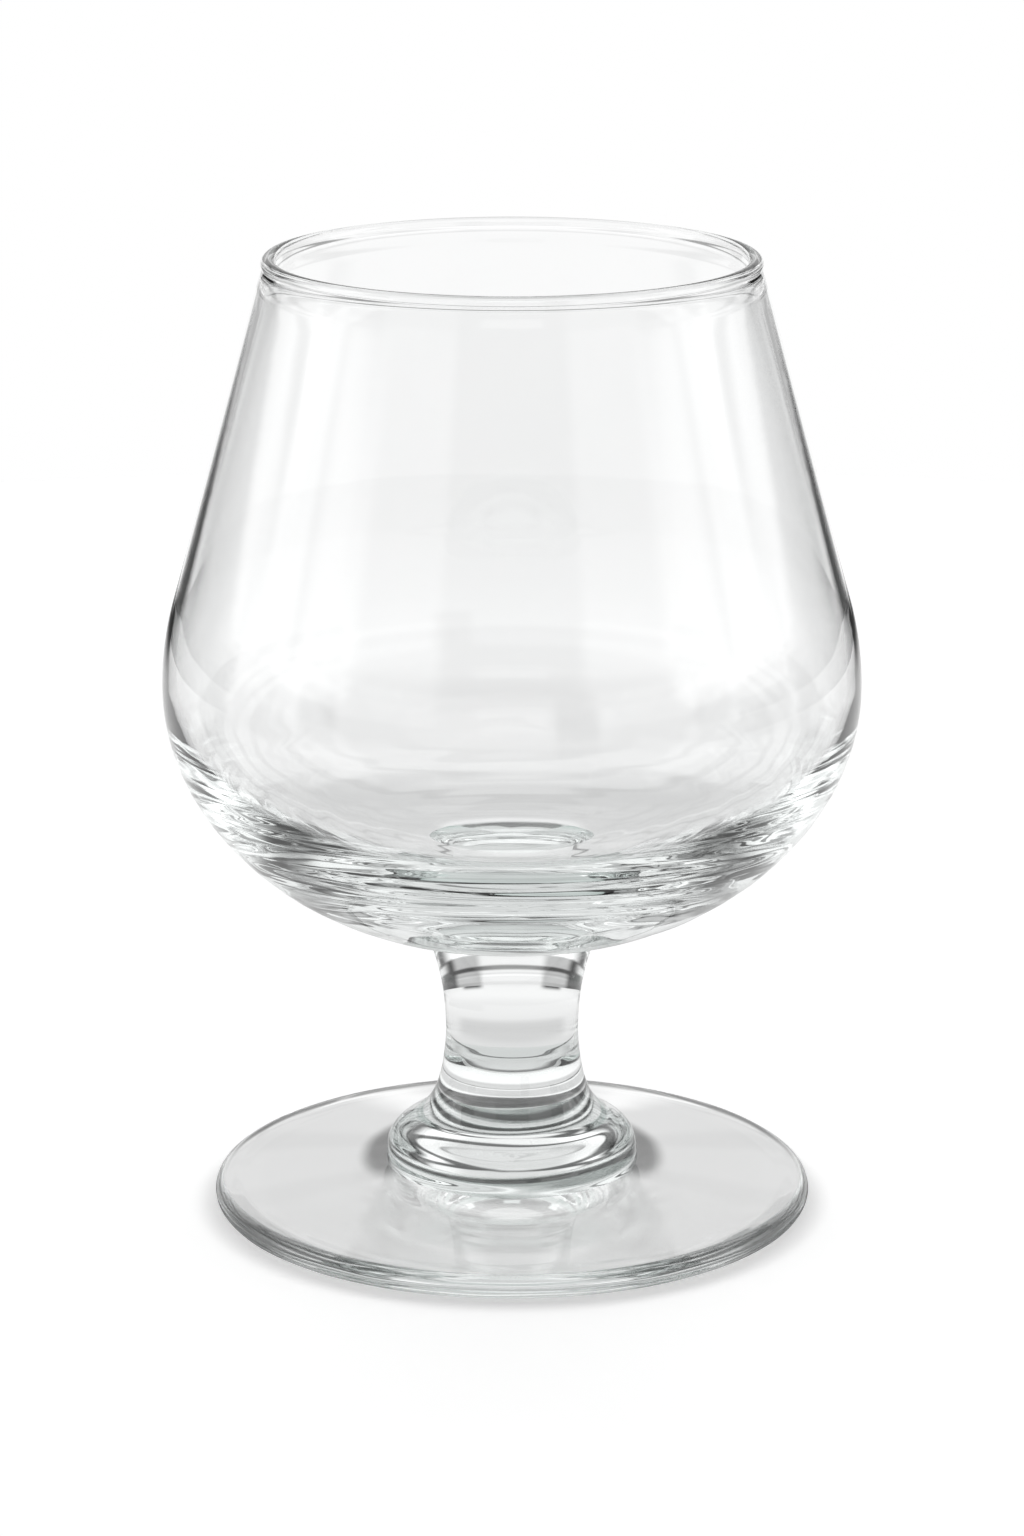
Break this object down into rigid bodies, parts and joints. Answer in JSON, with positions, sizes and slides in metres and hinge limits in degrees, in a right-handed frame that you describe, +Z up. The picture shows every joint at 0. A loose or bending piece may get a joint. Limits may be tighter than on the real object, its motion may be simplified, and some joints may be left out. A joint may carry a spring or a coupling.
{
  "type": "brandy snifter",
  "caption": "Clear glass brandy snifter: a wide bowl narrowing to a beaded rim, on a short solid stem with a knop and a flat round foot.",
  "frame": {"origin": "on the glass's axis, on the surface that the foot stands on", "axes": "+Z up along the axis, from the foot to the rim; X and Y are alike, as the glass is round"},
  "size_m": [0.081, 0.081, 0.113],
  "materials": {
    "clear_glass": "clear soda-lime glass, fire-polished, with a faint green-grey tint where it is thick"
  },
  "bodies": {
    "root": {"bowl": "clear_glass", "stem": "clear_glass", "knop": "clear_glass", "foot": "clear_glass"}
  },
  "joints": []
}
